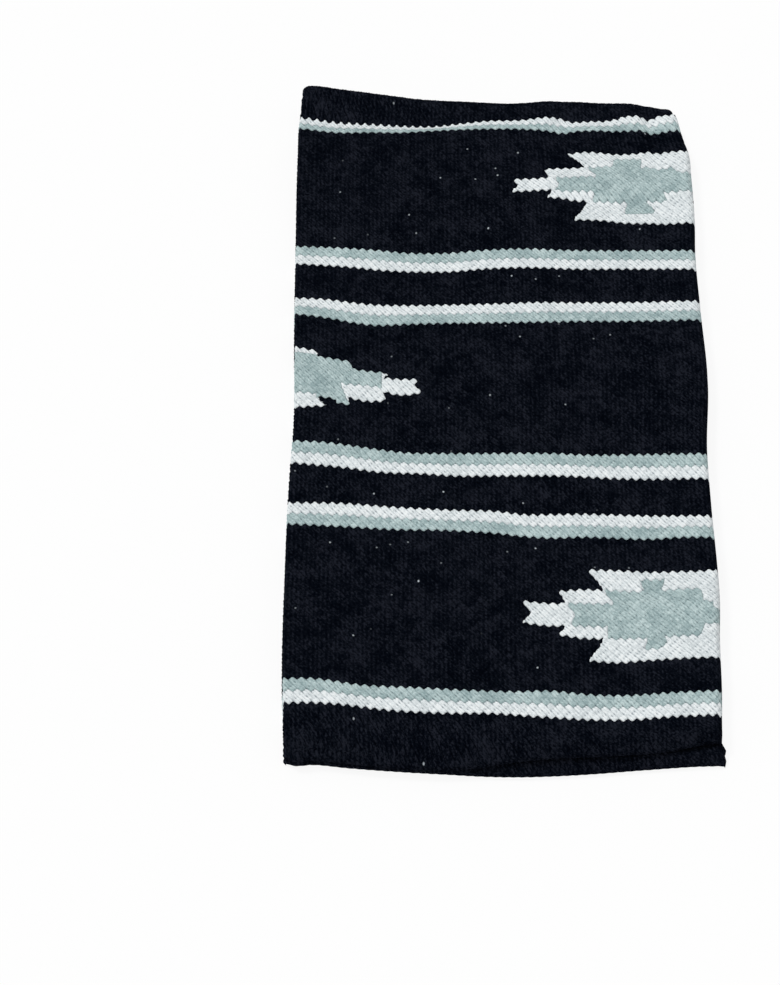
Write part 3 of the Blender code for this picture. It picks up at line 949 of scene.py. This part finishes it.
def yarn_material(name, deep, plain, light, look):
    """Wool-like yarn: two strands to a slanted float, uneven dye and lint.

    Shade is painted into the pits and grooves between floats, and onto the ribs.
    """
    material = bpy.data.materials.new(name)
    n = Nodes(material)
    shader = n.tree.nodes["Principled BSDF"]
    weave = n.add("ShaderNodeAttribute", {"attribute_name": "weave"}).outputs["Vector"]
    parts = n.add("ShaderNodeSeparateXYZ", None, i0=weave)
    a, b = parts.outputs[0], parts.outputs[1]
    two = n.math("MULTIPLY", a, 2.0)
    edge, strand, along = n.from_middle(a), n.from_middle(two), n.from_middle(b)
    # Dye: each float's own tone, and noise by the float and by the place
    own = n.add("ShaderNodeCombineXYZ", None, i0=n.math("FLOOR", a), i1=n.math("FLOOR", b))
    tone = n.chance(own.outputs[0])
    place = n.add("ShaderNodeTexCoord").outputs["Object"]
    values = {
        "patches": n.noise(place, PATCH_SCALE),
        "fibre": n.noise(n.slanted(a, b, FIBRES, n.math("MULTIPLY", tone, FIBRE_LAYERS)), 1.0),
        "streak": n.noise(n.slanted(a, b, STREAKS, n.math("MULTIPLY_ADD", tone, *STREAK_LAYERS)), 1.0),
        "speck": n.noise(place, SPECK_SCALE),
        # Painted rib shading: lighter at the edges of each half pitch, darker in its middle
        "rib": n.from_middle(n.math("ADD", a, b)),
    }
    shade = n.math("MULTIPLY", tone, look["tone"])
    for key, value in values.items():
        shade = n.math("MULTIPLY_ADD", value, look[key], shade)
    middle = 0.5 * sum(look[key] for key in ("tone", *values))
    colour = n.mix(n.ramp(shade, middle - look["spread"], middle), deep, plain)
    colour = n.mix(n.ramp(shade, middle, middle + look["spread"]), colour, light)
    # Painted shade: darker grooves between floats and strands, and darker pits where they cross
    crossing = n.add("ShaderNodeCombineXYZ", None, i0=n.math("ROUND", two), i1=n.math("ROUND", b))
    pit_shade = n.math("MULTIPLY", n.math("POWER", strand, PIT_SHADE_POWERS[0]), n.math("POWER", along, PIT_SHADE_POWERS[1]))
    pit_shade = n.math("MULTIPLY", pit_shade, n.ramp(n.chance(crossing.outputs[0]), *PIT_SHADE_CHANCE))
    painted_shade = n.math("MULTIPLY", n.math("POWER", edge, GROOVE_SHADE_POWERS[0]), look["groove_shade"])
    strand_groove_shade = n.math("POWER", strand, GROOVE_SHADE_POWERS[1])
    painted_shade = n.math("MULTIPLY_ADD", strand_groove_shade, look["groove_shade"] * STRAND_GROOVE_SHADE, painted_shade)
    painted_shade = n.math("MULTIPLY_ADD", pit_shade, look["pit_shade"], painted_shade)
    colour = n.mix(n.math("MINIMUM", painted_shade, MOST_SHADE), colour, look["painted_shade"])
    # Lint
    settings = {"voronoi_dimensions": "2D"}
    dots = n.add("ShaderNodeTexVoronoi", settings, Vector=weave, Scale=look["lint_scale"])
    chosen = n.ramp(n.chance(dots.outputs["Color"], "3D"), look["lint_from"], 1.0)
    lint = n.math("MULTIPLY", n.ramp(dots.outputs["Distance"], *LINT_RIM), chosen)
    n.put(shader.inputs["Base Color"], n.mix(lint, colour, look["lint"]))
    shader.inputs["Roughness"].default_value = look["roughness"]
    shader.inputs["Specular IOR Level"].default_value = look["specular"]
    shader.inputs["Sheen Weight"].default_value = look["sheen"]
    shader.inputs["Sheen Roughness"].default_value = SHEEN_ROUGHNESS
    by_fibre, by_streak, by_speck = ROUGH_WEIGHTS
    rough = n.math("MULTIPLY", values["streak"], by_streak)
    rough = n.math("MULTIPLY_ADD", values["fibre"], by_fibre, rough)
    rough = n.math("MULTIPLY_ADD", values["speck"], by_speck, rough)
    bump = n.add("ShaderNodeBump", None, Strength=look["bump"], Distance=BUMP_DISTANCE, Height=rough)
    n.put(shader.inputs["Normal"], bump.outputs[0])
    return material


# Yarn colours: deepest, plain and lightest dye, then how much each kind of unevenness counts, how strong
# the painted shade in grooves and pits is and its colour, and how strong the painted rib shading is
LOOKS = {
    NAVY: (
        (0.001, 0.0018, 0.004, 1), (0.0038, 0.0052, 0.0088, 1), (0.0138, 0.016, 0.024, 1),
        dict(tone=0.05, patches=0.20, fibre=0.30, streak=0.25, speck=0.30, rib=0.05, spread=0.062,
             groove_shade=0.35, pit_shade=0.8, painted_shade=(0.0004, 0.0009, 0.002, 1), lint=(0.48, 0.53, 0.57, 1),
             lint_scale=0.46, lint_from=0.95, roughness=0.95, specular=0.0, sheen=0.0, bump=1.0),
    ),
    WHITE: (
        (0.63, 0.68, 0.695, 1), (0.80, 0.855, 0.87, 1), (0.915, 0.95, 0.955, 1),
        dict(tone=0.06, patches=0.12, fibre=0.30, streak=0.25, speck=0.30, rib=0.0, spread=0.065, groove_shade=0.27,
             pit_shade=1.1, painted_shade=(0.22, 0.26, 0.29, 1), lint=(0.55, 0.58, 0.60, 1), lint_scale=0.44,
             lint_from=0.99, roughness=0.92, specular=0.10, sheen=0.03, bump=0.8),
    ),
    GREY: (
        (0.28, 0.38, 0.39, 1), (0.415, 0.53, 0.535, 1), (0.58, 0.70, 0.70, 1),
        dict(tone=0.06, patches=0.22, fibre=0.30, streak=0.30, speck=0.25, rib=0.0, spread=0.078, groove_shade=0.28,
             pit_shade=1.0, painted_shade=(0.12, 0.17, 0.18, 1), lint=(0.62, 0.66, 0.67, 1), lint_scale=0.44,
             lint_from=0.985, roughness=0.93, specular=0.10, sheen=0.03, bump=0.9),
    ),
}


# The blanket


def build_blanket():
    materials = {colour: yarn_material(f"{colour}_yarn", *look) for colour, look in LOOKS.items()}
    for half, prefix in (("lower", "under"), ("upper", "top")):
        body = f"{half}_half"
        seen = half == "upper"
        outer = Weave(Leaf(half, True, FINE if seen else COARSE), OUTER_SEED)
        pieces = {}
        for number, (area, colour) in enumerate(AREAS):
            item = outer.piece(f"{prefix}_{area}_cloth", [number], materials[colour])
            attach(item, body)
            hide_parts(f"{prefix}_{area}")
            pieces[area] = item
        inner = Weave(Leaf(half, False, COARSE), INNER_SEED)
        for colour in (NAVY, WHITE, GREY):
            numbers = [number for number, (_, own) in enumerate(AREAS) if own == colour]
            item = inner.piece(f"{half}_inner_leaf_{colour}", numbers, materials[colour])
            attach(item, body)
            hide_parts(f"{half}_inner_leaf")
            pieces[f"inner_{colour}"] = item
        declare(outer, inner, pieces)


def declare(outer, inner, pieces):
    """Gathers each field of an outer leaf with its stripes and diamonds, works out their flat areas and
    the inner leaf's; nothing uses the results.
    """
    width = SECTION_LENGTH
    for field in range(1, FIELD_COUNT + 1):
        own = outer.flat_area([field - 1])
        whole = own
        going = []
        if field <= STRIPE_COUNT:
            going += [pieces[f"white_stripe_{field}"], pieces[f"grey_stripe_{field}"]]
        if field in FIELDS_WITH_DIAMOND:
            number = FIELDS_WITH_DIAMOND.index(field)
            border_area = FIRST_DIAMOND + 2 * number
            going += [pieces[f"diamond_{number + 1}_border"], pieces[f"diamond_{number + 1}_core"]]
            whole += outer.flat_area([border_area, border_area + 1])
    navy = [number for number, (_, colour) in enumerate(AREAS) if colour == NAVY]
    inner.flat_area(range(len(AREAS))) / width
    inner.flat_area(navy)


# The stage


FLOOR_SHADE = 0.9
FLOOR_GLOW = 0.90
FLOOR_HALF = 30.0
FLOOR_HEIGHT = -0.0005
WORLD_STRENGTH = 0.63
SUN_STRENGTH = 1.42
SUN_ANGLE = math.radians(12)
SUN_FROM = (-0.55, 0.35, 1.0)
VIEW_DEPTH = 100


def floor_material():
    """White, with a glow of its own where the camera sees it, so that it keeps a faint shadow."""
    material = bpy.data.materials.new("floor")
    n = Nodes(material)
    shader = n.tree.nodes["Principled BSDF"]
    shader.inputs["Base Color"].default_value = (FLOOR_SHADE, FLOOR_SHADE, FLOOR_SHADE, 1)
    shader.inputs["Roughness"].default_value = 1.0
    shader.inputs["Specular IOR Level"].default_value = 0.0
    glow = n.add("ShaderNodeEmission", None, Color=(1, 1, 1, 1), Strength=1.0)
    blend = n.add("ShaderNodeMixShader", None, i0=n.math("MULTIPLY", n.seen(), FLOOR_GLOW))
    n.tree.links.new(shader.outputs[0], blend.inputs[1])
    n.tree.links.new(glow.outputs[0], blend.inputs[2])
    n.tree.links.new(blend.outputs[0], n.tree.nodes["Material Output"].inputs[0])
    return material


def build_stage():
    mesh = bpy.data.meshes.new("floor")
    signs = ((-1, -1), (1, -1), (1, 1), (-1, 1))
    mesh.from_pydata([(x * FLOOR_HALF, y * FLOOR_HALF, FLOOR_HEIGHT) for x, y in signs], [], [(0, 1, 2, 3)])
    mesh.materials.append(floor_material())
    floor = placed("floor", mesh)
    light = bpy.data.lights.new("sun", "SUN")
    light.energy = SUN_STRENGTH
    light.angle = SUN_ANGLE
    sun = placed("sun", light)
    sun.rotation_mode = "QUATERNION"
    sun.rotation_quaternion = Vector(SUN_FROM).to_track_quat("Z", "Y")
    world = bpy.data.worlds.new("world")
    bpy.context.scene.world = world
    n = Nodes(world)
    background = n.tree.nodes["Background"]
    n.put(background.inputs["Color"], (1, 1, 1, 1))
    n.put(background.inputs["Strength"], n.ramp(n.seen(), 0.0, 1.0, WORLD_STRENGTH, 1.0))


def build_camera():
    data = bpy.data.cameras.new("camera")
    data.sensor_fit = "AUTO"
    data.sensor_width = SENSOR
    data.lens = FOCAL_PIXELS * SENSOR / max(PHOTO_WIDTH, PHOTO_HEIGHT)
    data.clip_end = VIEW_DEPTH
    camera = placed("camera", data)
    right, up = Vector(CAMERA_RIGHT), Vector(CAMERA_UP)
    back = right.cross(up)
    turn = Matrix((right, up, back)).transposed()
    camera.matrix_world = Matrix.Translation(Vector(CAMERA_PLACE)) @ turn.to_4x4()
    bpy.context.scene.camera = camera


clear_scene()
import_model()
build_blanket()
build_stage()
build_camera()
bpy.context.scene.view_settings.view_transform = "Standard"
